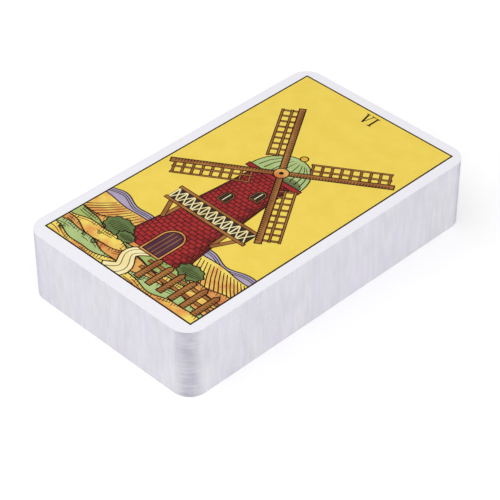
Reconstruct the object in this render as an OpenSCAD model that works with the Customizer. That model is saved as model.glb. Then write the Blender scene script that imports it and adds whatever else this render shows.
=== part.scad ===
// Tarot card deck: a squared stack of cards that lie face up.
// The origin is the centre of the underside, +Y runs to the top edge of the pictures, +Z is up.

/* [Card] */
// Width of a card
card_w = 70; // [55:0.5:90]
// Length of a card
card_l = 120; // [95:0.5:150]
// Thickness of one card
card_t = 0.3; // [0.25:0.01:0.5]
// Radius of the rounded corners of a card
corner_r = 6.35; // [2:0.05:12]

/* [Stack] */
// Film of air between two cards that lie on each other
air_gap = 0.0125; // [0.005:0.0005:0.05]

/* [Hidden] */
$fn = 64;
pitch = card_t + air_gap;

// Packets are listed from the bottom of the stack to the top, each as a name and a number of cards
trump_packets = [
    for (name = [
        "world", "judgement", "sun", "moon", "star", "tower", "devil", "temperance", "death",
        "hanged_man", "justice", "wheel_of_fortune", "hermit", "strength", "chariot", "lovers",
        "hierophant", "emperor", "empress", "high_priestess", "magician", "fool"
    ]) [str(name, "_card"), 1]
];
court_packets = [["king", 1], ["queen", 1], ["knight", 1], ["page", 1]];
number_packets = [
    ["eight_nine_and_ten", 3], ["six_and_seven", 2], ["four_and_five", 2], ["two_and_three", 2],
    ["ace", 1]
];
// A cut between the six and the five of batons has put the six on top and the five at the bottom
low_baton_packets = [["five", 1], ["four", 1], ["two_and_three", 2], ["ace", 1]];
high_baton_packets = [["nine_and_ten", 2], ["seven_and_eight", 2], ["six", 1]];

function of_suit(packets, suit) = [for (p = packets) [str(p[0], "_of_", suit), p[1]]];

packets = concat(
    of_suit(low_baton_packets, "batons"),
    trump_packets,
    of_suit(concat(court_packets, number_packets), "coins"),
    of_suit(concat(court_packets, number_packets), "swords"),
    of_suit(concat(court_packets, number_packets), "cups"),
    of_suit(concat(court_packets, high_baton_packets), "batons")
);

// Number of cards that lie under packet k
function cards_under(k) = k == 0 ? 0 : cards_under(k - 1) + packets[k - 1][1];

// Outline of a card: two crossing bars and a disc in each corner
module card_outline() {
    straight_w = card_w - 2 * corner_r;
    straight_l = card_l - 2 * corner_r;
    square([card_w, straight_l], center = true);
    square([straight_w, card_l], center = true);
    for (x = [-straight_w / 2, straight_w / 2], y = [-straight_l / 2, straight_l / 2])
        translate([x, y]) circle(r = corner_r);
}

// One card, with its underside at the given height in the stack
module card(place) {
    translate([0, 0, place * pitch])
        linear_extrude(card_t)
            card_outline();
}

// The cards of packet k, each a solid of its own
module packet(k) {
    color("whitesmoke")
        for (i = [0:packets[k][1] - 1])
            card(cards_under(k) + i);
}

for (k = [0:len(packets) - 1])
    packet(k);
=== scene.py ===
"""Looks of the tarot deck: each card gets a printed face, a printed back and a cut paper edge."""

import functools
import math
import random

import bpy
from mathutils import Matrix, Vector
from mathutils.geometry import delaunay_2d_cdt


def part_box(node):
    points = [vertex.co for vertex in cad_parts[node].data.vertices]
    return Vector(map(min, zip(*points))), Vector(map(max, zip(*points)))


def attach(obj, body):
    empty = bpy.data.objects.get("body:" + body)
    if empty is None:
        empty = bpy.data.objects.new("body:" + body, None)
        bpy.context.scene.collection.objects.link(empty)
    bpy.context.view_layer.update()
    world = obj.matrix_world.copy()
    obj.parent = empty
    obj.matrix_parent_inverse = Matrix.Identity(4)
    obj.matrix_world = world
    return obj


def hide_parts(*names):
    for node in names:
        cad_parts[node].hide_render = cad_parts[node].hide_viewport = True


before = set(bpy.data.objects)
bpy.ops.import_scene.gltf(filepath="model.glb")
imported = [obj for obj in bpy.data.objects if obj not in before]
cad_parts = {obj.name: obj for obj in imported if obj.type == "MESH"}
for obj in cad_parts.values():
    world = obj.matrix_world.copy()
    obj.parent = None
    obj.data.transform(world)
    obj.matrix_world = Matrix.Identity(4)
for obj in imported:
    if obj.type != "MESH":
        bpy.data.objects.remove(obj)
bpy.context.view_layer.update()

# Sizes of the card, in millimetres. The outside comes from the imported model.
MM = 0.001
TOP_NODE = "six_of_batons"
CARD_W, CARD_L, CARD_T = (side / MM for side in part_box(TOP_NODE)[1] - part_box(TOP_NODE)[0])
CORNER_R, CORNER_STEPS = 6.35, 10
EDGE_EASE = 0.02
PICTURE_W, PICTURE_L = 61.5, 110.7

# How far a picture is printed off the middle of its card, and how loosely a card lies in the stack
TOP_PRINT_SHIFT, PRINT_SHIFT = (0.0, 0.55), 0.45
CARD_SHIFT, CARD_TURN_DEG = 0.015, 0.008
LOOSE_INSET = 0.025

# Widths of the printed lines, in millimetres
FRAME_LINE, LINE, HAIR, THIN = 0.56, 0.42, 0.3, 0.2

# A shape with a smaller doubled area, in square millimetres, isn't printed
LEAST_DOUBLED_AREA = 0.009
# Keeps the mitre at a sharp bend short
MITRE_LIMIT = 0.5
# Points that agree to this many decimals of a millimetre are one point
SAME_POINT = 5
CDT_EPSILON = 1e-5
SHARP_DEG = 30
SEED = 11

RANKS = "ace two three four five six seven eight nine ten page knight queen king".split()
TRUMPS = (
    "fool magician high_priestess empress emperor hierophant lovers chariot strength hermit "
    "wheel_of_fortune justice hanged_man death temperance devil tower star moon sun judgement world"
).split()

# Ink colours as they look on the card, red, green and blue from 0 to 255. The second colour, where
# there is one, comes and goes in soft patches.
INKS = {
    "paper": ((237, 236, 242), None),
    "line": ((30, 14, 2), None),
    "sky": ((239, 211, 92), (236, 207, 86)),
    "dusk": ((163, 196, 205), (158, 192, 202)),
    "mist": ((193, 192, 198), (188, 187, 194)),
    "straw": ((232, 186, 104), (229, 182, 99)),
    "lilac": ((178, 164, 188), (166, 152, 178)),
    "field": ((240, 214, 104), (226, 158, 82)),
    "clay": ((224, 168, 88), (206, 122, 70)),
    "meadow": ((166, 184, 106), (142, 160, 90)),
    "leaf": ((176, 196, 132), (164, 186, 116)),
    "hedge": ((104, 122, 70), (86, 104, 62)),
    "brick": ((168, 44, 46), (152, 38, 42)),
    "plum": ((84, 50, 66), (74, 42, 58)),
    "night": ((48, 40, 34), None),
    "chalk": ((240, 236, 206), None),
    "canvas": ((246, 232, 178), (240, 222, 158)),
    "wood": ((168, 112, 58), (148, 92, 46)),
    "gold": ((226, 176, 60), (214, 160, 50)),
    "steel": ((186, 200, 212), (170, 186, 200)),
    "sea": ((72, 112, 148), (62, 100, 136)),
    "back_blue": ((62, 88, 138), (54, 78, 126)),
    "back_pale": ((206, 214, 230), (196, 206, 224)),
}


# Outlines. A point is a pair in millimetres, and an outline is a list of points.

def spread(start, end, count):
    """Evenly spaced values from a start to an end."""
    return [start + (end - start) * k / (count - 1) for k in range(count)]


def arc(x, y, wide, high, start_deg, end_deg, steps):
    """Points along part of an ellipse."""
    turns = [math.radians(turn) for turn in spread(start_deg, end_deg, steps + 1)]
    return [(x + wide * math.cos(t), y + high * math.sin(t)) for t in turns]


def oval(x, y, wide, high, steps):
    return arc(x, y, wide, high, 0, 360, steps)[:-1]


def disc(r, steps, x=0, y=0):
    return oval(x, y, r, r, steps)


def box(left, bottom, right, top):
    return [(left, bottom), (right, bottom), (right, top), (left, top)]


def arched(foot, spring, half, rise, steps):
    """An opening about x = 0 with a round head that springs from a height."""
    return [(-half, foot), (half, foot)] + arc(0, spring, half, rise, 0, 180, steps)


def star(x, y, outer, inner, tips):
    """A star with one tip upwards."""
    turns = [math.radians(90 + 180 * k / tips) for k in range(2 * tips)]
    return [(x + r * math.cos(t), y + r * math.sin(t)) for r, t in zip([outer, inner] * tips, turns)]


def blob(x, y, wide, high, bumps, depth, steps=32):
    """A scalloped round, such as a bush."""
    turns = [2 * math.pi * k / steps for k in range(steps)]
    radii = [1 + depth * math.sin(bumps * t) for t in turns]
    return [(x + wide * r * math.cos(t), y + high * r * math.sin(t)) for r, t in zip(radii, turns)]


def heart(x, y, size, steps=32):
    """A heart, by the usual formula."""
    turns = [2 * math.pi * k / steps for k in range(steps)]
    waves = [13 * math.cos(t) - 5 * math.cos(2 * t) - 2 * math.cos(3 * t) - math.cos(4 * t) for t in turns]
    return [(x + size * math.sin(t) ** 3, y + size * wave / 16) for t, wave in zip(turns, waves)]


def moved(points, dx, dy):
    return [(x + dx, y + dy) for x, y in points]


def placing(x, y, size=1.0, turn_deg=0.0):
    """A function that turns an outline drawn about zero, sizes it and puts it at x, y."""
    c = size * math.cos(math.radians(turn_deg))
    s = size * math.sin(math.radians(turn_deg))
    return lambda points: [(x + c * px - s * py, y + s * px + c * py) for px, py in points]


def turned(points, turn_deg):
    return placing(0, 0, 1, turn_deg)(points)


def doubled_area(points):
    ends = points[1:] + points[:1]
    return sum(ax * by - bx * ay for (ax, ay), (bx, by) in zip(points, ends))


def left_normal(a, b):
    length = math.hypot(b[0] - a[0], b[1] - a[1]) or 1.0
    return (a[1] - b[1]) / length, (b[0] - a[0]) / length


def mitred(before, point, after, by):
    """A point moved by a distance to the left of the path that runs through it."""
    n, m = left_normal(before, point), left_normal(point, after)
    share = by / max(1 + n[0] * m[0] + n[1] * m[1], MITRE_LIMIT)
    return point[0] + (n[0] + m[0]) * share, point[1] + (n[1] + m[1]) * share


def grown(points, by):
    """An outline moved outwards."""
    out = -by if doubled_area(points) > 0 else by
    count = len(points)
    return [mitred(points[k - 1], points[k], points[(k + 1) % count], out) for k in range(count)]


def ribbon(points, width, end_width=None):
    """The outline of a stroke along a path, which may taper."""
    end_width = width if end_width is None else end_width
    last = len(points) - 1
    sides = [[], []]
    for k, point in enumerate(points):
        before = points[k - 1] if k else (2 * point[0] - points[1][0], 2 * point[1] - points[1][1])
        after = points[k + 1] if k < last else (2 * point[0] - before[0], 2 * point[1] - before[1])
        half = (width + (end_width - width) * k / last) / 2
        sides[0].append(mitred(before, point, after, -half))
        sides[1].append(mitred(before, point, after, half))
    return sides[0] + sides[1][::-1]


def clipped(points, window):
    """The part of an outline that lies in an upright window."""
    for axis in (0, 1):
        for limit, sign in ((window[axis], 1), (window[axis + 2], -1)):
            kept = []
            for a, b in zip(points, points[1:] + points[:1]):
                ins = sign * (a[axis] - limit)
                next_ins = sign * (b[axis] - limit)
                if ins >= 0:
                    kept.append(a)
                if ins * next_ins < 0:
                    share = ins / (ins - next_ins)
                    kept.append(tuple(p + (q - p) * share for p, q in zip(a, b)))
            points = kept
            if not points:
                return []
    return points


class Print:
    """Shapes laid on one side of a card, the later ones over the earlier ones."""

    def __init__(self, window):
        self.window = window
        self.shapes = []
        self.place = placing(0, 0)

    def at(self, x, y, size=1.0, turn_deg=0.0):
        """The same print, for a motif that is drawn about zero. Lines keep their widths."""
        inner = placing(x, y, size, turn_deg)
        part = Print(self.window)
        part.shapes = self.shapes
        part.place = lambda points: self.place(inner(points))
        return part

    def lay(self, ink, points):
        points = clipped(points, self.window)
        if len(points) < 3 or abs(doubled_area(points)) < LEAST_DOUBLED_AREA:
            return
        self.shapes.append((ink, points if doubled_area(points) > 0 else points[::-1]))

    def fill(self, ink, points):
        self.lay(ink, self.place(points))

    def inked(self, ink, points, line=LINE):
        """A fill with a dark outline round it."""
        self.lay("line", grown(self.place(points), line))
        self.fill(ink, points)

    def stroke(self, points, width=LINE, end_width=None, ink="line"):
        self.lay(ink, ribbon(self.place(points), width, end_width))

    def land(self, ink, height, *waves, step=1.5):
        """All of the window below a skyline, which is returned. A wave is a rise, a length and a shift."""
        left, bottom, right, _ = self.window
        skyline = [(x, height + sum(rise * math.sin(x / length + shift) for rise, length, shift in waves))
                   for x in spread(left, right, round((right - left) / step) + 1)]
        self.fill(ink, skyline + [(right, bottom), (left, bottom)])
        self.stroke(skyline)
        return skyline


# Numerals. All sizes of a letter are shares of its height.

NUMERAL_Y, NUMERAL_H = 51.6, 4.6
LETTER_WIDTHS = {"I": 0.42, "V": 0.82, "X": 0.82, "0": 0.7}
STEM, SERIF, SERIF_HALF = 0.15, 0.08, 0.17
ROMAN_UNITS = ["", "I", "II", "III", "IV", "V", "VI", "VII", "VIII", "IX"]


def roman(number):
    return "X" * (number // 10) + ROMAN_UNITS[number % 10] if number else "0"


def letter(art, kind):
    """One letter with its stems and serifs. A nought is an oval, and the sky shows inside it."""
    half, fine = LETTER_WIDTHS[kind] / 2, STEM / 2
    side = half - SERIF_HALF
    stems = {
        "I": [((0, -0.5), (0, 0.5), STEM)],
        "V": [((-side, 0.5), (0, -0.5), STEM), ((0, -0.5), (side, 0.5), fine)],
        "X": [((-side, 0.5), (side, -0.5), STEM), ((-side, -0.5), (side, 0.5), fine)],
        "0": [],
    }
    if kind == "0":
        sky = art.shapes[0][0]
        art.fill("line", oval(0, 0, half - fine, 0.5, 20))
        art.fill(sky, oval(0, 0, half - fine - STEM, 0.5 - fine, 20))
    for start, end, width in stems[kind]:
        art.stroke([start, end], width * NUMERAL_H)
        for x, y in (start, end):
            if kind != "V" or y > 0:
                art.stroke([(x - SERIF_HALF, y), (x + SERIF_HALF, y)], SERIF * NUMERAL_H)


def numeral(art, number):
    """A Roman numeral at the head of the picture."""
    text = roman(number)
    x = -NUMERAL_H * sum(LETTER_WIDTHS[kind] for kind in text) / 2
    for kind in text:
        wide = LETTER_WIDTHS[kind] * NUMERAL_H
        letter(art.at(x + wide / 2, NUMERAL_Y, NUMERAL_H), kind)
        x += wide


# Signs of the suits and the courts. Signs and emblems are drawn about zero, in shares of their size.

RAY_REACH, RAY_COUNT, RAY_HALF, RAY_SHORT_SHARE = (1.12, 1.5), 32, 0.05, 0.6
# The room for a petal over half its width
PETAL_ROOM, PETAL_STEPS = 2.4, 12


def rays(art, inner, outer, count):
    """Pointed rays round a sign, long and short by turns."""
    for k in range(count):
        reach = outer if k % 2 else inner + RAY_SHORT_SHARE * (outer - inner)
        ray = [(inner, -RAY_HALF), (reach, 0), (inner, RAY_HALF)]
        art.inked("gold", turned(ray, 360 * k / count), HAIR)


def petal_ring(art, ink, inner, outer, count):
    """Ovals side by side round a circle."""
    half = math.pi * (inner + outer) / (PETAL_ROOM * count)
    petal = oval((inner + outer) / 2, 0, (outer - inner) / 2, half, PETAL_STEPS)
    for k in range(count):
        art.inked(ink, turned(petal, 360 * k / count), THIN)


def coin(art):
    art.inked("gold", disc(1, 32))
    for turn in range(0, 360, 12):
        art.stroke(turned([(0.86, 0), (0.98, 0)], turn), THIN)
    art.fill("line", disc(0.82, 28))
    art.fill("straw", disc(0.77, 28))
    for k in range(8):
        art.inked("hedge", turned(oval(0.56, 0, 0.15, 0.08, 10), 22.5 + 45 * k), THIN)
    art.inked("brick", star(0, 0, 0.68, 0.3, 8), THIN)
    art.inked("gold", disc(0.22, 14), THIN)
    art.fill("line", disc(0.08, 8))


def cup(art):
    art.inked("gold", arc(0, -0.95, 0.55, 0.3, 0, 180, 12))
    art.stroke([(-0.45, -0.85), (0.45, -0.85)], THIN)
    art.inked("gold", box(-0.1, -0.72, 0.1, -0.1))
    art.inked("brick", oval(0, -0.46, 0.2, 0.1, 14))
    art.inked("gold", arc(0, 0.55, 0.66, 0.85, 180, 360, 18))
    for share in (-0.8, -0.55, -0.28, 0.0, 0.28, 0.55, 0.8):
        flute = [(0.66 * share * math.cos(t), 0.55 - 0.85 * math.sin(t)) for t in (0.3, 0.75, 1.1, 1.4)]
        art.stroke(flute, HAIR, THIN)
    art.fill("canvas", arc(-0.1, 0.45, 0.4, 0.6, 195, 245, 8) + [(-0.2, 0.3)])
    art.inked("brick", box(-0.69, 0.4, 0.69, 0.72))
    for x in spread(-0.54, 0.54, 7):
        art.inked("chalk", disc(0.06, 8, x, 0.56), THIN)


def sword(art):
    art.inked("steel", [(-0.08, -0.5), (0.08, -0.5), (0.07, 0.85), (0, 1), (-0.07, 0.85)])
    art.stroke([(0, -0.45), (0, 0.8)], THIN)
    art.inked("wood", box(-0.06, -0.85, 0.06, -0.58))
    art.inked("gold", [(-0.2, -0.6), (0.2, -0.6), (0.24, -0.5), (-0.24, -0.5)])
    art.inked("gold", disc(0.09, 10, 0, -0.9))


def baton(art):
    half = 0.085
    art.inked("wood", box(-half, -0.9, half, 0.9))
    for y in spread(-0.82, 0.82, 18):
        art.stroke([(0.01, y), (half, y + 0.03)], HAIR, THIN)
    for y in (-0.64, -0.32, 0.32, 0.64):
        art.inked("brick", [(-half, y - 0.06), (half, y), (half, y + 0.06), (-half, y)], HAIR)
    for y in (-0.95, 0.0, 0.95):
        art.inked("gold", box(-0.14, y - 0.06, 0.14, y + 0.06))
        art.inked("chalk", disc(0.04, 8, 0, y), THIN)


def banner(art):
    art.inked("wood", box(-0.62, -1, -0.52, 1))
    art.inked("brick", [(-0.5, 0.95), (0.7, 0.7), (0.4, 0.42), (0.7, 0.1), (-0.5, 0.2)])
    art.fill("canvas", disc(0.16, 12, -0.05, 0.55))


def shield(art):
    edge = [(-0.7, 0.8), (0.7, 0.8)] + arc(0, 0.3, 0.7, 1.2, 0, -180, 16)
    art.inked("sea", edge[::-1])
    art.fill("canvas", [(-0.7, 0.45), (-0.7, 0.15), (0, -0.3), (0.7, 0.15), (0.7, 0.45), (0, 0.0)])
    art.fill("gold", star(0, 0.55, 0.2, 0.09, 5))


def crown(art, tips):
    teeth = [(x, 0.05 if k % 2 else 0.6) for k, x in enumerate(spread(-0.9, 0.9, 2 * tips - 1))]
    art.inked("gold", [(0.8, -0.5), (-0.8, -0.5)] + teeth)
    art.inked("brick", box(-0.8, -0.62, 0.8, -0.36))
    for x, y in teeth[::2]:
        art.inked("chalk", disc(0.1, 8, x, y + 0.08), THIN)
    for x in spread(-0.6, 0.6, tips):
        art.fill("chalk", disc(0.07, 6, x, -0.49))


# Emblems of the trumps

def bundle(art):
    baton(art.at(-0.1, -0.1, 0.9, -50))
    art.inked("brick", disc(0.36, 22, 0.5, 0.02))
    art.inked("brick", [(0.4, 0.36), (0.6, 0.36), (0.72, 0.62), (0.28, 0.62)], HAIR)
    for x, y in ((0.34, 0.1), (0.62, 0.12), (0.5, -0.16)):
        art.fill("canvas", disc(0.06, 8, x, y))


def four_signs(art):
    for sign, x, y in ((coin, -0.42, 0.42), (cup, 0.42, 0.42), (sword, -0.42, -0.42), (baton, 0.42, -0.42)):
        sign(art.at(x, y, 0.36))


def column(art):
    art.inked("chalk", box(-0.25, -0.7, 0.25, 0.6))
    for x in (-0.15, -0.05, 0.05, 0.15):
        art.stroke([(x, -0.65), (x, 0.55)], HAIR)
    for y in (-0.85, 0.6):
        art.inked("gold", box(-0.42, y, 0.42, y + 0.18))


def crescent(art):
    art.inked("gold", arc(0, 0, 0.8, 0.8, 40, 320, 30) + arc(0.45, 0, 0.54, 0.54, 287, 73, 22))


def two_columns(art):
    for x in (-0.58, 0.58):
        column(art.at(x, -0.05, 0.8))
    crescent(art.at(0, 0.05, 0.42))


def crowned_heart(art):
    art.inked("brick", heart(0, -0.3, 0.5))
    crown(art.at(0, 0.55, 0.45), 3)


def crowned_staff(art):
    baton(art.at(0, -0.3, 0.6))
    crown(art.at(0, 0.35, 0.62), 5)


def keys(art):
    for turn in (38, -38):
        key = art.at(0, 0, 1, turn)
        key.inked("gold", box(0.06, -0.78, 0.26, -0.5), HAIR)
        key.inked("gold", box(-0.07, -0.8, 0.07, 0.5))
        key.inked("gold", disc(0.23, 18, 0, 0.62))
        key.inked("canvas", disc(0.1, 12, 0, 0.62), HAIR)


def two_hearts(art):
    art.inked("gold", heart(0.3, 0.16, 0.5))
    art.inked("brick", heart(-0.22, -0.06, 0.54))


def wheel(art):
    art.inked("wood", disc(0.9, 32))
    art.inked("canvas", disc(0.7, 28))
    for turn in range(0, 360, 45):
        art.inked("gold", turned(box(0.1, -0.06, 0.72, 0.06), turn), THIN)
    art.inked("brick", disc(0.2, 16))


def chariot(art):
    for x in (-0.52, 0.52):
        art.inked("wood", box(x - 0.05, 0.1, x + 0.05, 0.72), HAIR)
    art.inked("brick", [(-0.75, 0.62), (0.75, 0.62), (0.5, 0.85), (-0.5, 0.85)])
    art.inked("sea", [(-0.75, -0.4), (0.75, -0.4), (0.6, 0.2), (-0.6, 0.2)])
    art.inked("gold", star(0, -0.1, 0.24, 0.1, 5), THIN)
    for x in (-0.55, 0.55):
        wheel(art.at(x, -0.5, 0.36))


def lantern(art):
    art.inked("gold", box(-0.45, -0.82, 0.45, -0.64))
    art.inked("chalk", box(-0.35, -0.64, 0.35, 0.3))
    art.inked("gold", star(0, -0.17, 0.32, 0.13, 6), THIN)
    art.inked("wood", [(-0.5, 0.3), (0.5, 0.3), (0, 0.72)])
    art.stroke(arc(0, 0.84, 0.13, 0.13, -80, 260, 14))


def scales(art):
    sword(art.at(0, 0, 0.95, 180))
    art.inked("gold", box(-0.78, 0.22, 0.78, 0.3))
    for x in (-0.66, 0.66):
        for lean in (-0.22, 0.22):
            art.stroke([(x, 0.22), (x + lean, -0.3)], HAIR)
        art.inked("gold", arc(x, -0.3, 0.28, 0.2, 180, 360, 12))


def hung_ring(art):
    for beam in ((-0.62, -0.8, -0.48, 0.7), (0.48, -0.8, 0.62, 0.7), (-0.78, 0.66, 0.78, 0.82)):
        art.inked("wood", box(*beam))
    art.stroke([(0, 0.66), (0, 0.1)])
    art.inked("gold", disc(0.26, 20, 0, -0.14))
    art.inked("canvas", disc(0.15, 16, 0, -0.14), HAIR)


def hourglass(art):
    art.inked("steel", [(-0.42, -0.7), (0.42, -0.7), (0.06, 0), (0.42, 0.7), (-0.42, 0.7), (-0.06, 0)])
    art.fill("gold", [(-0.38, -0.68), (0.38, -0.68), (0, -0.28)])
    art.fill("gold", [(-0.22, 0.4), (-0.03, 0.02), (0.03, 0.02), (0.22, 0.4)])
    for y in (-0.86, 0.7):
        art.inked("wood", box(-0.58, y, 0.58, y + 0.16))


def two_cups(art):
    art.stroke([(-0.1, 0.42), (0.2, 0.3), (0.38, 0.0), (0.42, -0.3)], 6 * LINE, 4 * LINE, "sea")
    cup(art.at(-0.4, 0.4, 0.4, -40))
    cup(art.at(0.42, -0.45, 0.4))


def flame(art):
    tongue = arc(0, -0.35, 0.55, 0.5, 180, 360, 18) + [(0.4, 0.0), (0.1, 0.3), (0.06, 0.85), (-0.35, 0.3)]
    for ink, size in (("brick", 1.0), ("gold", 0.68), ("chalk", 0.36)):
        art.at(0, 0.3 * (size - 1), size).inked(ink, tongue)


def tower(art):
    art.inked("clay", [(-0.42, -0.85), (0.42, -0.85), (0.32, 0.3), (-0.32, 0.3)])
    for y in spread(0.2, -0.7, 6):
        art.stroke([(-0.37, y), (0.37, y)], HAIR)
    for x in (-0.34, 0, 0.34):
        art.inked("clay", box(x - 0.1, 0.48, x + 0.1, 0.66), HAIR)
    art.inked("clay", box(-0.44, 0.3, 0.44, 0.5))
    art.inked("night", arched(-0.85, -0.55, 0.14, 0.18, 10))
    bolt = [(0.4, 0.1), (0.74, 0.55), (0.6, 0.55), (0.8, 0.9), (0.56, 0.9), (0.44, 0.46), (0.56, 0.46)]
    art.inked("gold", bolt)


def star_cluster(art):
    art.inked("gold", star(0, 0, 0.72, 0.26, 8))
    for turn in range(22, 360, 90):
        art.inked("sea", turned(star(0.76, 0, 0.14, 0.06, 5), turn), THIN)


def sun(art):
    rays(art, 0.54, 0.95, 24)
    art.inked("gold", disc(0.5, 28))
    art.inked("straw", disc(0.36, 24), THIN)


def trumpet(art):
    cloth = [(-0.35, -0.6), (0, -0.48), (0.3, -0.6), (0.3, -0.05), (-0.35, -0.05)]
    horn = [(-0.9, -0.06), (0.45, -0.08), (0.9, -0.36), (0.9, 0.36), (0.45, 0.08), (-0.9, 0.06)]
    art.inked("brick", turned(cloth, 35))
    art.inked("gold", turned(horn, 35))


def globe(art):
    petal_ring(art, "hedge", 0.6, 0.95, 24)
    art.inked("sea", disc(0.52, 30))
    for x, y, wide, high in ((-0.14, 0.12, 0.26, 0.2), (0.2, -0.18, 0.16, 0.12)):
        art.inked("leaf", blob(x, y, wide, high, 5, 0.15), HAIR)


# In the order of the trumps
EMBLEMS = [bundle, four_signs, two_columns, crowned_heart, crowned_staff, keys, two_hearts, chariot,
           column, lantern, wheel, scales, hung_ring, hourglass, two_cups, flame, tower, star_cluster,
           crescent, sun, trumpet, globe]
MEDAL_Y, MEDAL_R, MEDAL_FIELD_SHARE, EMBLEM_SHARE = 6.0, 26.0, 0.76, 0.68
MEDAL_PETALS, MEDAL_PETAL_SHARES = 30, (0.8, 0.96)


def medal(art, number):
    """The emblem of a trump in a ring of petals."""
    art.inked("sea" if number % 2 else "brick", disc(1, 48))
    petal_ring(art, "gold", *MEDAL_PETAL_SHARES, MEDAL_PETALS)
    art.inked("canvas", disc(MEDAL_FIELD_SHARE, 44))
    EMBLEMS[number](art.at(0, 0, EMBLEM_SHARE))


# Pictures of all cards but the top one

SKIES = {"coins": "straw", "cups": "dusk", "swords": "mist", "batons": "sky"}
TRUMP_SKIES = ["sky", "dusk", "straw", "mist"]
PIPS = {"coins": coin, "cups": cup, "swords": sword, "batons": baton}
PIP_SIZES = {"coins": 6.4, "cups": 7.6, "swords": 18.0, "batons": 18.0}
LONG_SUITS, LONG_ROW_MOST = ("swords", "batons"), 3
# The number of round signs in each row, and how much larger they are, on an ace to a ten
PIP_ROWS = "1 11 111 22 212 222 2221 2222 22122 22222".split()
PIP_GROWTH = [2.6, 1.9, 1.7, 1.6, 1.35, 1.4, 1.2, 1.2, 1.05, 1.05]
PIPS_TOP, PIPS_SPAN, PIPS_ACROSS, LONG_ACROSS = 44.5, 78.0, 30.0, 72.0
COURT_HEADS = {"page": banner, "knight": shield, "queen": functools.partial(crown, tips=3),
               "king": functools.partial(crown, tips=5)}
COURT_GROWTH = {"coins": 2.1, "cups": 2.1, "swords": 1.25, "batons": 1.25}
COURT_HEAD_Y, COURT_HEAD_SIZE, COURT_SIGN_Y = 27.0, 15.0, -10.0
# The strip of fields: an ink and a height for each, and the limits of their waves
GROUNDS = (("meadow", -38.5), ("clay", -43.5), ("field", -48.5))
GROUND_DRIFT, GROUND_STEP = 1.0, 1.9
WAVE_RISES, WAVE_LENGTHS, WAVE_SHIFTS = (1.0, 2.0), (6, 11), (0, 6)
RIPPLE_RISE, RIPPLE_LENGTH = 0.35, 2.6
# Under the brow of a bank, dashes follow it and strokes of shade lean
DASH_DROPS, DASH_START, DASH_STEP, DASH_POINTS = (1.0, 1.9), 4, 11, (4, 9)
SHADE_LENGTHS, SHADE_LEAN = (0.2, 1.7), 0.3


def bank(art, rng, ink, height, *waves, step=1.0):
    """A rise of land with its outline, dashes and shade."""
    brow = art.land(ink, height, *waves, step=step)
    for drop in DASH_DROPS:
        for start in range(rng.randrange(DASH_START), len(brow) - DASH_POINTS[1], DASH_STEP):
            dash = brow[start:start + rng.randrange(*DASH_POINTS)]
            art.stroke(moved(dash, 0, -drop), HAIR, THIN)
    for x, y in brow[1:-1]:
        length = rng.uniform(*SHADE_LENGTHS)
        art.stroke([(x, y), (x + SHADE_LEAN * length, y - length)], HAIR, THIN)


def grounds(art, rng):
    """A low strip of fields at the foot of a picture."""
    for ink, height in GROUNDS:
        wave = (rng.uniform(*WAVE_RISES), rng.uniform(*WAVE_LENGTHS), rng.uniform(*WAVE_SHIFTS))
        height += rng.uniform(-GROUND_DRIFT, GROUND_DRIFT)
        ripple = (RIPPLE_RISE, RIPPLE_LENGTH, rng.uniform(*WAVE_SHIFTS))
        bank(art, rng, ink, height, wave, ripple, step=GROUND_STEP)


def pips(art, suit, count):
    """The suit's sign, as often as the card's number says, in rows. Long signs stand side by side."""
    size = PIP_SIZES[suit]
    if suit in LONG_SUITS:
        rows = [count] if count <= LONG_ROW_MOST else [(count + 1) // 2, count // 2]
        size *= 2 / len(rows)
        across = LONG_ACROSS / (max(rows) + 1)
    else:
        rows = [int(digit) for digit in PIP_ROWS[count - 1]]
        size *= PIP_GROWTH[count - 1]
        across = PIPS_ACROSS
    step = PIPS_SPAN / len(rows)
    if count == 1 and suit not in LONG_SUITS:
        rays(art.at(0, PIPS_TOP - step / 2, size), *RAY_REACH, RAY_COUNT)
    for k, number in enumerate(rows):
        y = PIPS_TOP - step * (k + 0.5)
        for j in range(number):
            PIPS[suit](art.at((j - (number - 1) / 2) * across, y, size))


def small_picture(art, suit, rank, rng):
    """A trump has a medal, a number card its signs, and a court card a head over one large sign."""
    sky = TRUMP_SKIES[rank % len(TRUMP_SKIES)] if suit == "trumps" else SKIES[suit]
    art.fill(sky, box(*art.window))
    grounds(art, rng)
    if suit == "trumps":
        medal(art.at(0, MEDAL_Y, MEDAL_R), rank)
        numeral(art, rank)
    elif rank <= len(PIP_ROWS):
        pips(art, suit, rank)
        numeral(art, rank)
    else:
        COURT_HEADS[RANKS[rank - 1]](art.at(0, COURT_HEAD_Y, COURT_HEAD_SIZE))
        PIPS[suit](art.at(0, COURT_SIGN_Y, COURT_GROWTH[suit] * PIP_SIZES[suit]))


# The picture on the top card: a brick windmill over fields. Turns round the tower start at its front.

MILL_FOOT, MILL_NECK, TOWER_STEPS, FOOT_TURNS = -41.0, 9.0, 12, range(-75, 76, 15)
FOOT_HALF, NECK_HALF, TAPER_POWER = 12.5, 7.6, 1.4
COURSE_STEP, COURSE_SAG, COURSE_TURNS = 1.55, 0.09, range(-88, 89, 22)
BRICKS_ROUND, BRICK_LEAD, BRICK_END_DEG = 11, 0.25, 88
SHADE_STARTS_DEG, SHADE_END_DEG = (38, 47, 56), 86
DOOR_FOOT, DOOR_TRIM, PANE_TRIM = MILL_FOOT - 1, 0.9, 0.5
DECK_LOW, DECK_HIGH, DECK_HALF, DECK_BAYS = -20.6, -14.8, 16.0, 10
# The corners of a bay that a bar joins, and the bar's width
BAY_BARS = ((0, 2, 0.4), (3, 1, 0.4), (0, 3, 0.5))
RAIL = box(-16.7, 0, 16.7, 0.9)
RAIL_DROP, STRUT_WIDE = 0.5, 1.1
STRUT_REACHES, STRUT_FOOT, STRUT_INSET = (9.8, 14.0), -28.0, 0.6
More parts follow.
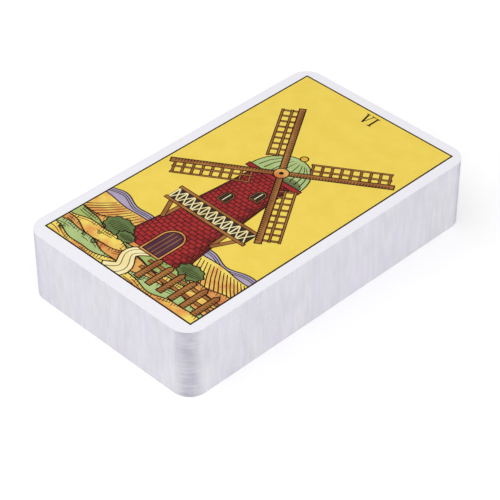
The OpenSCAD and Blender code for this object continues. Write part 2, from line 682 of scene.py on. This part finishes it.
# The cap is drawn about the middle of the neck
CAP_HALF, CAP = 10.2, arc(0, 0, 10.2, 12.0, 0, 180, 20)
RIB_SHARES, RIB_TURNS = (-0.82, -0.6, -0.34, -0.08, 0.2, 0.46, 0.68, 0.86), (0.15, 0.5, 0.85, 1.15)
RIB_RISE = 11.2
CAP_TICKS, CAP_TICK_FOOT, CAP_TICK_LEAN = spread(1.5, 9.7, 22), 0.6, 0.97
CAP_TICK_TOP, CAP_TICK_SWELL = 2.1, 21.0
# A sail is drawn about the hub, along x
HUB_Y, SAIL_TURNS = 12.0, range(33, 360, 90)
SAIL_START, SAIL_END, SAIL_WIDE, SAIL_BARS = 9.0, 33.0, 6.2, 9
LATH_HALF, LATH_START, LATH_PAST = 0.22, 0.7, 0.5
SPAR_HALF, SPAR_END, SPAR_TICKS = 0.85, 34.6, spread(3.0, 33.03125, 32)
SPAR_TICK = [(0, -SPAR_HALF), (0.35, 0.2)]
PATH_X, PATH_LEAN, PATH_DROP, PATH_SWING, PATH_STEPS = -4.0, -5.0, 15.0, -2.6, 14
PATH_WIDTHS, RUT_SHARE = (3.2, 6.4), 0.45
# Places of the furrows to the right and left, and how far each has spread at some heights
FURROWS = spread(9.5, 29.75, 16) + spread(-9.5, -24.35, 12)
FURROW_SPREADS = ((1.0, -33.4), (1.16, -37.5), (1.42, -43.0))
TUFTS, TUFT_REACH, TUFT_HEIGHTS = 12, (8, 24), (-53.5, -45)
BLADES = ([(-0.3, 0), (-1.0, 1.8)], [(0.03, 0), (0.1, 2.34)], [(0.3, 0), (1.0, 1.8)])
# Each bank has an ink, a height, and a wave's rise, length and shift
BANKS = (("clay", -40.2, 1.5, 8.5, 2.6), ("meadow", -42.8, 1.8, 6.1, 0.4), ("field", -45.4, 1.5, 7.5, 3.9),
         ("clay", -48.0, 1.6, 5.2, 1.5), ("leaf", -50.6, 1.5, 6.8, 5.2), ("field", -53.2, 1.1, 4.6, 2.2))
BANK_RIPPLE_LENGTH = 1.9
# Each bush has a place, and half its width and height
BUSHES = ((-15.5, -40.4, 5.2, 3.6), (14.8, -40.2, 4.4, 3.0), (-10.4, -42.4, 3.0, 2.0))
BUSH_BUMPS, BUSH_DEPTH, BUSH_STROKES = 9, 0.09, spread(-0.75, 0.75, 10)
BUSH_LOW, BUSH_HIGH, BUSH_LEAN = 0.6, 0.5, 0.5


def mill_half(y):
    """Half the width of the tower at a height."""
    share = (MILL_NECK - y) / (MILL_NECK - MILL_FOOT)
    return NECK_HALF + (FOOT_HALF - NECK_HALF) * share ** TAPER_POWER


def round_tower(y, turn_deg):
    """A point on the round tower, seen from a little above."""
    t = math.radians(turn_deg)
    half = mill_half(y)
    return half * math.sin(t), y - COURSE_SAG * half * math.cos(t)


def mill_course(art, row):
    """One course of bricks, with shade towards the right-hand side."""
    y = MILL_FOOT + row * COURSE_STEP
    if row:
        art.stroke([round_tower(y, turn) for turn in COURSE_TURNS], HAIR)
    for k in range(BRICKS_ROUND):
        turn = BRICK_END_DEG * (2 * (k + BRICK_LEAD + row % 2 / 2) / BRICKS_ROUND - 1)
        art.stroke([round_tower(y, turn), round_tower(y + COURSE_STEP, turn)], HAIR)
    start = SHADE_STARTS_DEG[row % len(SHADE_STARTS_DEG)]
    for y_shade in (y + COURSE_STEP / 3, y + 2 * COURSE_STEP / 3):
        art.stroke([round_tower(y_shade, start), round_tower(y_shade, SHADE_END_DEG)], THIN, HAIR)


def mill_tower(art):
    side = [(mill_half(y), y) for y in spread(MILL_FOOT, MILL_NECK, TOWER_STEPS + 1)]
    foot = [round_tower(MILL_FOOT, turn) for turn in FOOT_TURNS]
    art.inked("brick", foot + side + [(-x, y) for x, y in side[::-1]])
    for row in range(int((MILL_NECK - MILL_FOOT) / COURSE_STEP)):
        mill_course(art, row)


def mill_openings(art):
    """The boarded door and two windows, each with a pale trim."""
    door, pane = arched(DOOR_FOOT, -34.0, 3.2, 3.6, 12), arched(-1.6, 1.0, 1.2, 1.3, 8)
    art.inked("clay", grown(door, DOOR_TRIM))
    art.inked("plum", door)
    for x in (-1.6, 0, 1.6):
        art.stroke([(x, DOOR_FOOT), (x, -31.2)], HAIR, ink="wood")
    for x, y in ((-3.2, -8.5), (3.4, -1.5)):
        window = art.at(x, y)
        window.inked("clay", grown(pane, PANE_TRIM))
        window.inked("night", pane)
        window.stroke([(0, -1.6), (0, 2.2)], HAIR, ink="canvas")


def mill_gallery(art):
    """The gallery round the tower: a dark rail with pale crossed bars, on slanting struts."""
    for side in (-1, 1):
        for reach in STRUT_REACHES:
            strut = [(side * reach, DECK_LOW), (side * (mill_half(STRUT_FOOT) - STRUT_INSET), STRUT_FOOT)]
            art.inked("wood", ribbon(strut, STRUT_WIDE), HAIR)
    art.inked("night", box(-DECK_HALF, DECK_LOW, DECK_HALF, DECK_HIGH))
    ends = spread(-DECK_HALF, DECK_HALF, DECK_BAYS + 1)
    for left, right in zip(ends, ends[1:]):
        bay = box(left, DECK_LOW, right, DECK_HIGH)
        for start, end, width in BAY_BARS:
            art.stroke([bay[start], bay[end]], width, ink="canvas")
    for y in (DECK_LOW - RAIL_DROP, DECK_HIGH):
        art.inked("wood", moved(RAIL, 0, y), HAIR)


def mill_cap(art):
    """The ribbed cap with ticks of shade, its eaves and its knob."""
    art.inked("leaf", CAP)
    for share in RIB_SHARES:
        rib = [(share * CAP_HALF * math.cos(t), RIB_RISE * math.sin(t)) for t in RIB_TURNS]
        art.stroke(rib, LINE, THIN)
    for x, share in zip(CAP_TICKS, spread(0, 0.5, len(CAP_TICKS))):
        top = CAP_TICK_TOP + CAP_TICK_SWELL * share * (0.5 - share)
        art.stroke([(x, CAP_TICK_FOOT), (CAP_TICK_LEAN * x, top)], HAIR, THIN)
    art.inked("brick", box(-10.8, -1.2, 10.8, 0.2))
    art.inked("gold", disc(1.1, 12, 0, 13.2))


def mill_sail(art):
    """One sail: a spar with ticks of shade and a frame of laths beside it."""
    for x in spread(SAIL_START, SAIL_END, SAIL_BARS):
        art.inked("wood", box(x - LATH_HALF, LATH_START, x + LATH_HALF, SAIL_WIDE), HAIR)
    for y in (SAIL_WIDE / 2, SAIL_WIDE):
        lath = box(SAIL_START - LATH_PAST, y - LATH_HALF, SAIL_END + LATH_PAST, y + LATH_HALF)
        art.inked("wood", lath, HAIR)
    art.inked("wood", box(0, -SPAR_HALF, SPAR_END, SPAR_HALF))
    for x in SPAR_TICKS:
        art.stroke(moved(SPAR_TICK, x, 0), LINE, THIN)


def mill_sails(art):
    for turn in SAIL_TURNS:
        mill_sail(art.at(0, 0, 1, turn))
    art.inked("clay", disc(2.3, 16))
    art.fill("line", disc(0.8, 10))


def fence(art):
    """A rail fence, with ticks of shade on its posts."""
    post = [(-0.85, -52.2), (0.85, -52.2), (0.85, -43.2), (0, -42.0), (-0.85, -43.2)]
    for rail in (box(2.5, -45.2, 31.5, -44.3), box(2.5, -48.8, 31.5, -47.9)):
        art.inked("wood", rail, HAIR)
    for x in spread(5.0, 28.5, 6):
        art.inked("wood", moved(post, x, 0))
        for y in spread(-51.6, -44.25, 8):
            art.stroke([(x + 0.1, y), (x + 0.85, y + 0.3)], HAIR, THIN)


def tufts(art, rng):
    """Blades of grass on both sides of the path."""
    for k in range(TUFTS):
        x = PATH_X + (1 if k % 2 else -1) * rng.uniform(*TUFT_REACH)
        y = rng.uniform(*TUFT_HEIGHTS)
        for blade in BLADES:
            art.stroke(moved(blade, x, y), HAIR, THIN)


def mill_path(art):
    """The cart track from the mill's door to the foot of the picture, with two ruts."""
    line = []
    for share in spread(0, 1, PATH_STEPS + 1):
        swing = PATH_SWING * math.sin(2 * math.pi * share)
        line.append((PATH_LEAN * share + swing, DOOR_FOOT - PATH_DROP * share))
    art.inked("canvas", ribbon(line, *PATH_WIDTHS))
    ruts = ribbon(line, *(RUT_SHARE * width for width in PATH_WIDTHS))
    art.stroke(ruts[:PATH_STEPS + 1], THIN, HAIR)
    art.stroke(ruts[PATH_STEPS + 1:], HAIR, THIN)


def meadows(art, rng):
    """Hills at the skyline and the fields in front of them, with furrows that spread towards the viewer."""
    ridge = art.land("lilac", -29.6, (1.1, 5.2, 0.6), (0.6, 2.1, 1.2))
    for drop in (0.9, 1.6):
        art.stroke(moved(ridge, 0, -drop), HAIR)
    art.land("field", -32.4, (0.5, 8.0, 0.2), (0.25, 2.6, 0.4))
    for x in FURROWS:
        art.stroke([(x * wider, y) for wider, y in FURROW_SPREADS], HAIR, LINE)
    for ink, height, rise, length, shift in BANKS:
        ripple = (RIPPLE_RISE, BANK_RIPPLE_LENGTH, 2 * shift)
        bank(art, rng, ink, height, (rise, length, shift), ripple)
    mill_path(art)
    tufts(art, rng)


def bushes(art):
    for x, y, wide, high in BUSHES:
        art.inked("hedge", blob(x, y, wide, high, BUSH_BUMPS, BUSH_DEPTH))
        for share in BUSH_STROKES:
            left, swell = x + wide * share, high * (1 - share * share)
            art.stroke([(left, y - BUSH_LOW * swell), (left + BUSH_LEAN, y + BUSH_HIGH * swell)], HAIR, THIN)


def mill_picture(art, rank, rng):
    art.fill("sky", box(*art.window))
    meadows(art, rng)
    mill_tower(art)
    mill_openings(art)
    bushes(art)
    mill_gallery(art)
    mill_cap(art.at(0, MILL_NECK))
    mill_sails(art.at(0, HUB_Y))
    fence(art)
    numeral(art, rank)


# Sides of a card

BACK_COLUMNS, BACK_ROWS = 6, 10
DIAMOND_SHARE, DOT_SHARE = 0.4, 0.13


def back_pattern(art):
    """A lattice of diamonds with a dot in each, cut off at the frame."""
    left, bottom, right, top = art.window
    wide, high = (right - left) / BACK_COLUMNS, (top - bottom) / BACK_ROWS
    side, rise = DIAMOND_SHARE * wide, DIAMOND_SHARE * high
    art.fill("back_blue", box(*art.window))
    for row in range(2 * BACK_ROWS + 1):
        y = bottom + high * row / 2
        for k in range(BACK_COLUMNS + 1):
            x = left + wide * (k + row % 2 / 2)
            art.fill("back_pale", [(x, y - rise), (x + side, y), (x, y + rise), (x - side, y)])
            art.fill("back_blue", disc(DOT_SHARE * wide, 8, x, y))


def rounded_card(inset):
    """Outline of the card, moved in by the inset, anticlockwise from the right-hand edge."""
    r = CORNER_R - inset
    x, y = CARD_W / 2 - CORNER_R, CARD_L / 2 - CORNER_R
    corners = ((x, y, 0), (-x, y, 90), (-x, -y, 180), (x, -y, 270))
    return [p for cx, cy, turn in corners for p in arc(cx, cy, r, r, turn, turn + 90, CORNER_STEPS)]


def printed_side(inset, shift, draw):
    """The paper, the picture's frame line and the picture, as shapes in card coordinates."""
    half_w, half_l = PICTURE_W / 2, PICTURE_L / 2
    art = Print((-half_w, -half_l, half_w, half_l))
    draw(art)
    shapes = [("line", grown(box(*art.window), FRAME_LINE))] + art.shapes
    sheet = ("paper", rounded_card(inset + EDGE_EASE))
    return [sheet] + [(ink, moved(points, *shift)) for ink, points in shapes]


def partition(shapes):
    """Cuts a side into triangles, each in the ink of the uppermost shape that covers it."""
    points, faces = [], []
    for _, outline in shapes:
        faces.append(list(range(len(points), len(points) + len(outline))))
        points += [Vector(p) for p in outline]
    spots, _, triangles, _, _, origins = delaunay_2d_cdt(points, [], faces, 0, CDT_EPSILON)
    inks = [shapes[max(under)][0] if under else "paper" for under in origins]
    return [tuple(p) for p in spots], triangles, inks


# The bake layout, in millimetres: the face and the back side by side, and rows of cut edge above them
BAKE_MARGIN, BAKE_GAP = 1.0, 2.0
BAKE_SPAN = 2 * (CARD_W + BAKE_MARGIN + BAKE_GAP)
BAKE_ROW, BAKE_ROW_STEP, BAKE_LEVEL = CARD_L + BAKE_MARGIN + BAKE_GAP, 5.0, 1.2


class CardMesh:
    """Collects a card's faces, sharing the points where its sides meet."""

    def __init__(self, underside):
        self.low, self.high = underside, underside + CARD_T
        self.points, self.known = [], {}
        self.faces, self.inks, self.uvs = [], [], []

    def point(self, x, y, z):
        key = tuple(round(value, SAME_POINT) for value in (x, y, z))
        if key not in self.known:
            self.known[key] = len(self.points)
            self.points.append((x, y, z))
        return self.known[key]

    def face(self, corners, ink, uvs):
        self.faces.append(corners)
        self.inks.append(ink)
        self.uvs += [(u / BAKE_SPAN, v / BAKE_SPAN) for u, v in uvs]

    def side(self, cut, z, mirror):
        """One printed side. The back is drawn as seen from behind, so it is mirrored."""
        spots, triangles, inks = cut
        across = BAKE_MARGIN + CARD_W / 2 + (CARD_W + BAKE_GAP if mirror < 0 else 0)
        up = BAKE_MARGIN + CARD_L / 2
        for triangle, ink in zip(triangles, inks):
            places = [spots[k] for k in triangle]
            corners = [self.point(mirror * x, y, z) for x, y in places]
            self.face(corners, ink, [(x + across, y + up) for x, y in places])

    def edge(self, inset):
        """Two eased rims and the wall between them. A corner and the side after it share a bake row."""
        inner, outer = rounded_card(inset + EDGE_EASE), rounded_card(inset)
        rings = [(inner, self.low), (outer, self.low + EDGE_EASE),
                 (outer, self.high - EDGE_EASE), (inner, self.high)]
        count, per_row = len(outer), CORNER_STEPS + 1
        run = [0.0]
        for a, b in zip(outer, outer[1:] + outer[:1]):
            run.append(run[-1] + math.dist(a, b))
        for level, ((under, z0), (over, z1)) in enumerate(zip(rings, rings[1:])):
            for k in range(count):
                j, row = (k + 1) % count, k // per_row
                corners = [self.point(*under[k], z0), self.point(*under[j], z0),
                           self.point(*over[j], z1), self.point(*over[k], z1)]
                start, end = (BAKE_MARGIN + run[n] - run[row * per_row] for n in (k, k + 1))
                low = BAKE_ROW + BAKE_ROW_STEP * row + BAKE_LEVEL * level
                self.face(corners, "edge", box(start, low, end, low + BAKE_LEVEL))

    def built(self, name, shift, turn_deg):
        """The card as an object, shifted and turned in the stack."""
        mesh = bpy.data.meshes.new(name)
        flat = placing(*shift, 1, turn_deg)([p[:2] for p in self.points])
        points = [(x * MM, y * MM, p[2] * MM) for (x, y), p in zip(flat, self.points)]
        mesh.from_pydata(points, [], self.faces)
        used = sorted(set(self.inks))
        for ink in used:
            mesh.materials.append(material(ink))
        mesh.polygons.foreach_set("material_index", [used.index(ink) for ink in self.inks])
        layer = mesh.uv_layers.new(name="OFBake")
        layer.data.foreach_set("uv", [value for uv in self.uvs for value in uv])
        mesh.polygons.foreach_set("use_smooth", [True] * len(self.faces))
        mesh.set_sharp_from_angle(angle=math.radians(SHARP_DEG))
        mesh.validate()
        return in_scene(name, mesh)


def in_scene(name, data):
    made = bpy.data.objects.new(name, data)
    bpy.context.scene.collection.objects.link(made)
    return made


# Materials. A noise has a scale per metre and a level of detail, and it varies about 0.5.

BLOTCH, BLOTCH_RANGE = (170.0, 3.0), (0.4, 0.62)
GRAIN, GRAIN_RANGE = (2600.0, 2.0), (0.3, 0.7)
INK_TONES, INK_ROUGHNESS, INK_SPECULAR, INK_BUMP = (0.97, 1.03), (0.4, 0.52), 0.06, 0.00001
EDGE_COOL, EDGE_WARM, EDGE_DARK = (226, 223, 235), (228, 226, 231), (207, 205, 213)
EDGE_ROUGHNESS, EDGE_SPECULAR, EDGE_BUMP = (0.62, 0.8), 0.25, 0.00003
BUMP_STRENGTH = 0.5
# The noises of the cut edge: how each axis is scaled, then the scale and the detail
EDGE_NOISES = {
    "streak": ((1, 1, 0.1), 1500.0, 3.0),
    "score": ((1, 1, 0.22), 520.0, 1.0),
    "band": ((1, 1, 0.5), 130.0, 2.0),
    "card": ((0.02, 0.02, 1), 3200.0, 0.0),
    "tint": ((1, 1, 0.4), 110.0, 1.0),
    # The next two noises drive the painted shade of the rounded corners
    "layer": ((0.1, 0.1, 1), 1400.0, 3.0),
    "patch": ((1, 1, 1), 330.0, 1.0),
}
# The limits of a noise, and the shares of the other colour that it gives there
WALL_SHADES = {"streak": (0.25, 0.75, 0.0, 0.4), "score": (0.3, 0.7, 0.0, 0.36),
               "band": (0.3, 0.7, 0.0, 0.25), "card": (0.25, 0.75, 0.0, 0.1)}
WALL_TINTS = (0.4, 0.6, 0.0, 1.0)
# The painted shade of the rounded corners: bands along the card layers, and soft patches that darken all of
# each corner
CORNER_SHADE_SHARES = {"layer": (0.4, 0.68, 0.0, 0.32), "patch": (0.35, 0.65, 0.36, 0.52)}
# The colour of the corners' painted shade, and how far it fades in, as a share of the corner's radius
CORNER_SHADE_COLOUR, CORNER_SHADE_FADE = (162, 159, 176), 0.6

# Places of the colour sockets on a mix node
COLOUR_A, COLOUR_B, COLOUR_OUT = 6, 7, 2


def linear(colour):
    """A colour from 0 to 255 as the shader wants it, by the usual curve of a screen."""
    shares = [value / 255 for value in colour]
    return tuple(s / 12.92 if s <= 0.04045 else ((s + 0.055) / 1.055) ** 2.4 for s in shares) + (1.0,)


class Shader:
    """The node tree of a material or the world, with a few short calls for what is needed here."""

    def __init__(self, owner, surface="Principled BSDF"):
        owner.use_nodes = True
        self.owner, self.tree = owner, owner.node_tree
        self.surface = self.tree.nodes[surface].inputs

    def add(self, kind, **settings):
        made = self.tree.nodes.new(kind)
        for key, value in settings.items():
            setattr(made, key, value)
        return made

    def feed(self, sockets, values):
        """Links a socket, or sets its value, for each key and what is given for it."""
        for key, value in values.items():
            if isinstance(value, bpy.types.NodeSocket):
                self.tree.links.new(value, sockets[key])
            else:
                sockets[key].default_value = value

    def vector(self, operation, *given):
        made = self.add("ShaderNodeVectorMath", operation=operation)
        self.feed(made.inputs, dict(enumerate(given)))
        return made.outputs

    def noise(self, place, scale, detail):
        made = self.add("ShaderNodeTexNoise")
        self.feed(made.inputs, {"Vector": place, "Scale": scale, "Detail": detail})
        return made.outputs["Fac"]

    def ranged(self, value, low, high, to_low, to_high):
        made = self.add("ShaderNodeMapRange")
        self.feed(made.inputs, {"Value": value, "From Min": low, "From Max": high})
        self.feed(made.inputs, {"To Min": to_low, "To Max": to_high})
        return made.outputs["Result"]

    def reckon(self, operation, a, b):
        made = self.add("ShaderNodeMath", operation=operation)
        self.feed(made.inputs, {0: a, 1: b})
        return made.outputs[0]

    def added(self, noises, shades):
        """The shares that several noises give, one on top of the other."""
        total = None
        for name, limits in shades.items():
            share = self.ranged(noises[name], *limits)
            total = share if total is None else self.reckon("ADD", total, share)
        return total

    def mix(self, share, a, b, blend="MIX"):
        made = self.add("ShaderNodeMix", data_type="RGBA", blend_type=blend)
        self.feed(made.inputs, {"Factor": share, COLOUR_A: a, COLOUR_B: b})
        return made.outputs[COLOUR_OUT]

    def finish(self, colour, roughness, specular, height, depth):
        """Sets the surface, with small bumps of a depth in metres."""
        bump = self.add("ShaderNodeBump")
        self.feed(bump.inputs, {"Height": height, "Distance": depth, "Strength": BUMP_STRENGTH})
        self.feed(self.surface, {"Base Color": colour, "Roughness": roughness})
        self.feed(self.surface, {"Specular IOR Level": specular, "Normal": bump.outputs["Normal"]})
        return self.owner


def new_shader(name):
    """A new material. Its place is the socket with the place on the object."""
    shader = Shader(bpy.data.materials.new(name))
    shader.place = shader.add("ShaderNodeTexCoord").outputs["Object"]
    return shader


def ink_material(name):
    """Ink, or bare stock, under the card's satin coat."""
    colour, second = INKS[name]
    shader = new_shader(name)
    grain = shader.noise(shader.place, *GRAIN)
    base = linear(colour)
    if second:
        blotch = shader.noise(shader.place, *BLOTCH)
        base = shader.mix(shader.ranged(blotch, *BLOTCH_RANGE, 0.0, 1.0), base, linear(second))
    tone = shader.ranged(grain, *GRAIN_RANGE, *INK_TONES)
    grey = shader.add("ShaderNodeCombineColor")
    shader.feed(grey.inputs, {0: tone, 1: tone, 2: tone})
    printed = shader.mix(1.0, base, grey.outputs[0], "MULTIPLY")
    roughness = shader.ranged(grain, *GRAIN_RANGE, *INK_ROUGHNESS)
    return shader.finish(printed, roughness, INK_SPECULAR, grain, INK_BUMP)


def corner_shade_mask(shader):
    """Where the corners' painted shade goes: a socket that rises from 0 to 1 from the ends of the straight
    sides into the rounded corners.
    """
    parts = shader.add("ShaderNodeSeparateXYZ")
    shader.feed(parts.inputs, {0: shader.place})
    past = [shader.reckon("SUBTRACT", shader.reckon("ABSOLUTE", along, 0.0), (side / 2 - CORNER_R) * MM)
            for along, side in ((parts.outputs[0], CARD_W), (parts.outputs[1], CARD_L))]
    return shader.ranged(shader.reckon("MINIMUM", *past), 0.0, CORNER_SHADE_FADE * CORNER_R * MM, 0.0, 1.0)


def edge_material():
    """Cut paper: streaks of the blade run through the whole stack, and the rounded corners are darkened with
    painted shade, in bands along the card layers.
    """
    shader = new_shader("edge")
    noises = {name: shader.noise(shader.vector("MULTIPLY", shader.place, scales)[0], scale, detail)
              for name, (scales, scale, detail) in EDGE_NOISES.items()}
    pale = shader.mix(shader.ranged(noises["tint"], *WALL_TINTS), linear(EDGE_COOL), linear(EDGE_WARM))
    wall = shader.mix(shader.added(noises, WALL_SHADES), pale, linear(EDGE_DARK))
    # Painted shade: the rounded corners darken towards the corner shade colour
    painted_corner_shade = shader.reckon("MULTIPLY", corner_shade_mask(shader), shader.added(noises, CORNER_SHADE_SHARES))
    colour = shader.mix(painted_corner_shade, wall, linear(CORNER_SHADE_COLOUR))
    roughness = shader.ranged(noises["streak"], *GRAIN_RANGE, *EDGE_ROUGHNESS)
    return shader.finish(colour, roughness, EDGE_SPECULAR, noises["streak"], EDGE_BUMP)


@functools.cache
def material(name):
    return edge_material() if name == "edge" else ink_material(name)


# The deck

def cards_in(node):
    """The cards of a node from the bottom up, each as a suit and a rank."""
    if node.endswith("_card"):
        return [("trumps", TRUMPS.index(node.removesuffix("_card")))]
    words, suit = node.split("_of_")
    return [(suit, RANKS.index(word) + 1) for word in reversed(words.split("_")) if word != "and"]


def card_name(suit, rank):
    return f"printed_{TRUMPS[rank]}" if suit == "trumps" else f"printed_{RANKS[rank - 1]}_of_{suit}"


def make_card(node, suit, rank, underside, backs):
    """One card. All but the top one lie a little loose in the stack, within its outline."""
    rng = random.Random(f"{SEED} {suit} {rank}")
    on_top = node == TOP_NODE
    inset = 0.0 if on_top else LOOSE_INSET
    loose = 0.0 if on_top else 1.0

    def near(reach):
        return rng.uniform(-reach, reach), rng.uniform(-reach, reach)

    if on_top:
        face = printed_side(inset, TOP_PRINT_SHIFT, lambda art: mill_picture(art, rank, rng))
    else:
        face = printed_side(inset, near(PRINT_SHIFT), lambda art: small_picture(art, suit, rank, rng))
    mesh = CardMesh(underside)
    mesh.side(partition(face), mesh.high, 1)
    mesh.side(backs[inset], mesh.low, -1)
    mesh.edge(inset)
    turn = rng.uniform(-CARD_TURN_DEG, CARD_TURN_DEG)
    piece = mesh.built(card_name(suit, rank), near(loose * CARD_SHIFT), loose * turn)
    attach(piece, node)
    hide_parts(node)


def make_deck():
    backs = {inset: partition(printed_side(inset, (0.0, 0.0), back_pattern)) for inset in (0.0, LOOSE_INSET)}
    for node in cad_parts:
        low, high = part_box(node)
        cards = cards_in(node)
        rise = (high.z - low.z) / MM - CARD_T
        for k, (suit, rank) in enumerate(cards):
            underside = low.z / MM + (rise * k / (len(cards) - 1) if k else 0.0)
            make_card(node, suit, rank, underside, backs)


# Stage

# The camera's aim and distance are in millimetres, and its nearest sight in metres
CAMERA_AZIMUTH_DEG, CAMERA_ELEVATION_DEG = 45.2, 39.24
CAMERA_AIM, CAMERA_DISTANCE, CAMERA_LENS, CAMERA_NEAR = (9.67, -10.53, 13.0), 584.3, 140.26, 0.01
FLOOR_WINDOW, FLOOR_GAP, FLOOR_WHITE = (-2000, -2000, 2000, 2000), 0.00002, (0.97, 0.97, 0.97, 1.0)
# The floor's glow starts and ends at these distances, in metres, with these levels
GLOW_REACH, GLOW_LEVELS = (0.1, 0.5), (0.12, 0.5)
WHITE = (1.0, 1.0, 1.0, 1.0)
WORLD_LEVEL = 0.62
LAMP_SIZE = 0.9
# Each lamp has a way from the object, a distance and a power
LAMPS = {"left_softbox": ((-0.62, -0.66, 0.72), 0.55, 1.75),
         "right_softbox": ((0.8, -0.2, 0.62), 0.58, 1.85)}


def make_camera():
    """The camera looks from -Y at azimuth 0 and from +X at 90."""
    a, e = math.radians(CAMERA_AZIMUTH_DEG), math.radians(CAMERA_ELEVATION_DEG)
    way = Vector((math.sin(a) * math.cos(e), -math.cos(a) * math.cos(e), math.sin(e)))
    data = bpy.data.cameras.new("camera")
    data.lens = CAMERA_LENS
    data.clip_start = CAMERA_NEAR
    camera = in_scene("camera", data)
    camera.location = Vector(CAMERA_AIM) * MM + way * CAMERA_DISTANCE * MM
    camera.rotation_euler = (-way).to_track_quat("-Z", "Y").to_euler()
    bpy.context.scene.camera = camera


def seen_rays(shader):
    """A socket that is 1 for what the camera sees, also in gloss and through glass, and else 0."""
    path = shader.add("ShaderNodeLightPath").outputs
    seen = shader.reckon("MAXIMUM", path["Is Camera Ray"], path["Is Glossy Ray"])
    return shader.reckon("MAXIMUM", seen, path["Is Transmission Ray"])


def make_floor():
    """A plain floor that glows for the camera as painted light: weakly by the deck, where it lightens the
    deck's shadow, and more further out, beyond the lamps' reach, so that it stays white there.
    """
    mesh = bpy.data.meshes.new("floor")
    mesh.from_pydata([(x * MM, y * MM, 0) for x, y in box(*FLOOR_WINDOW)], [], [(0, 1, 2, 3)])
    floor = in_scene("floor", mesh)
    floor.location.z = -FLOOR_GAP
    shader = new_shader("floor")
    reach = shader.vector("LENGTH", shader.place)["Value"]
    glow = shader.reckon("MULTIPLY", shader.ranged(reach, *GLOW_REACH, *GLOW_LEVELS), seen_rays(shader))
    shader.feed(shader.surface, {"Base Color": FLOOR_WHITE, "Roughness": 1.0, "Specular IOR Level": 0.0})
    shader.feed(shader.surface, {"Emission Color": WHITE, "Emission Strength": glow})
    mesh.materials.append(shader.owner)


def make_world():
    """White for the camera, and a plain level for all other light."""
    world = bpy.data.worlds.new("studio")
    bpy.context.scene.world = world
    shader = Shader(world, "Background")
    level = shader.ranged(seen_rays(shader), 0.0, 1.0, WORLD_LEVEL, 1.0)
    shader.feed(shader.surface, {"Color": WHITE, "Strength": level})


def make_lamps():
    for name, (way, distance, power) in LAMPS.items():
        data = bpy.data.lights.new(name, "AREA")
        data.shape = "SQUARE"
        data.size = LAMP_SIZE
        data.energy = power
        lamp = in_scene(name, data)
        lamp.location = Vector(way).normalized() * distance
        lamp.rotation_euler = Vector(way).to_track_quat("Z", "Y").to_euler()


make_deck()
make_camera()
make_floor()
make_world()
make_lamps()
bpy.context.scene.view_settings.view_transform = "Standard"
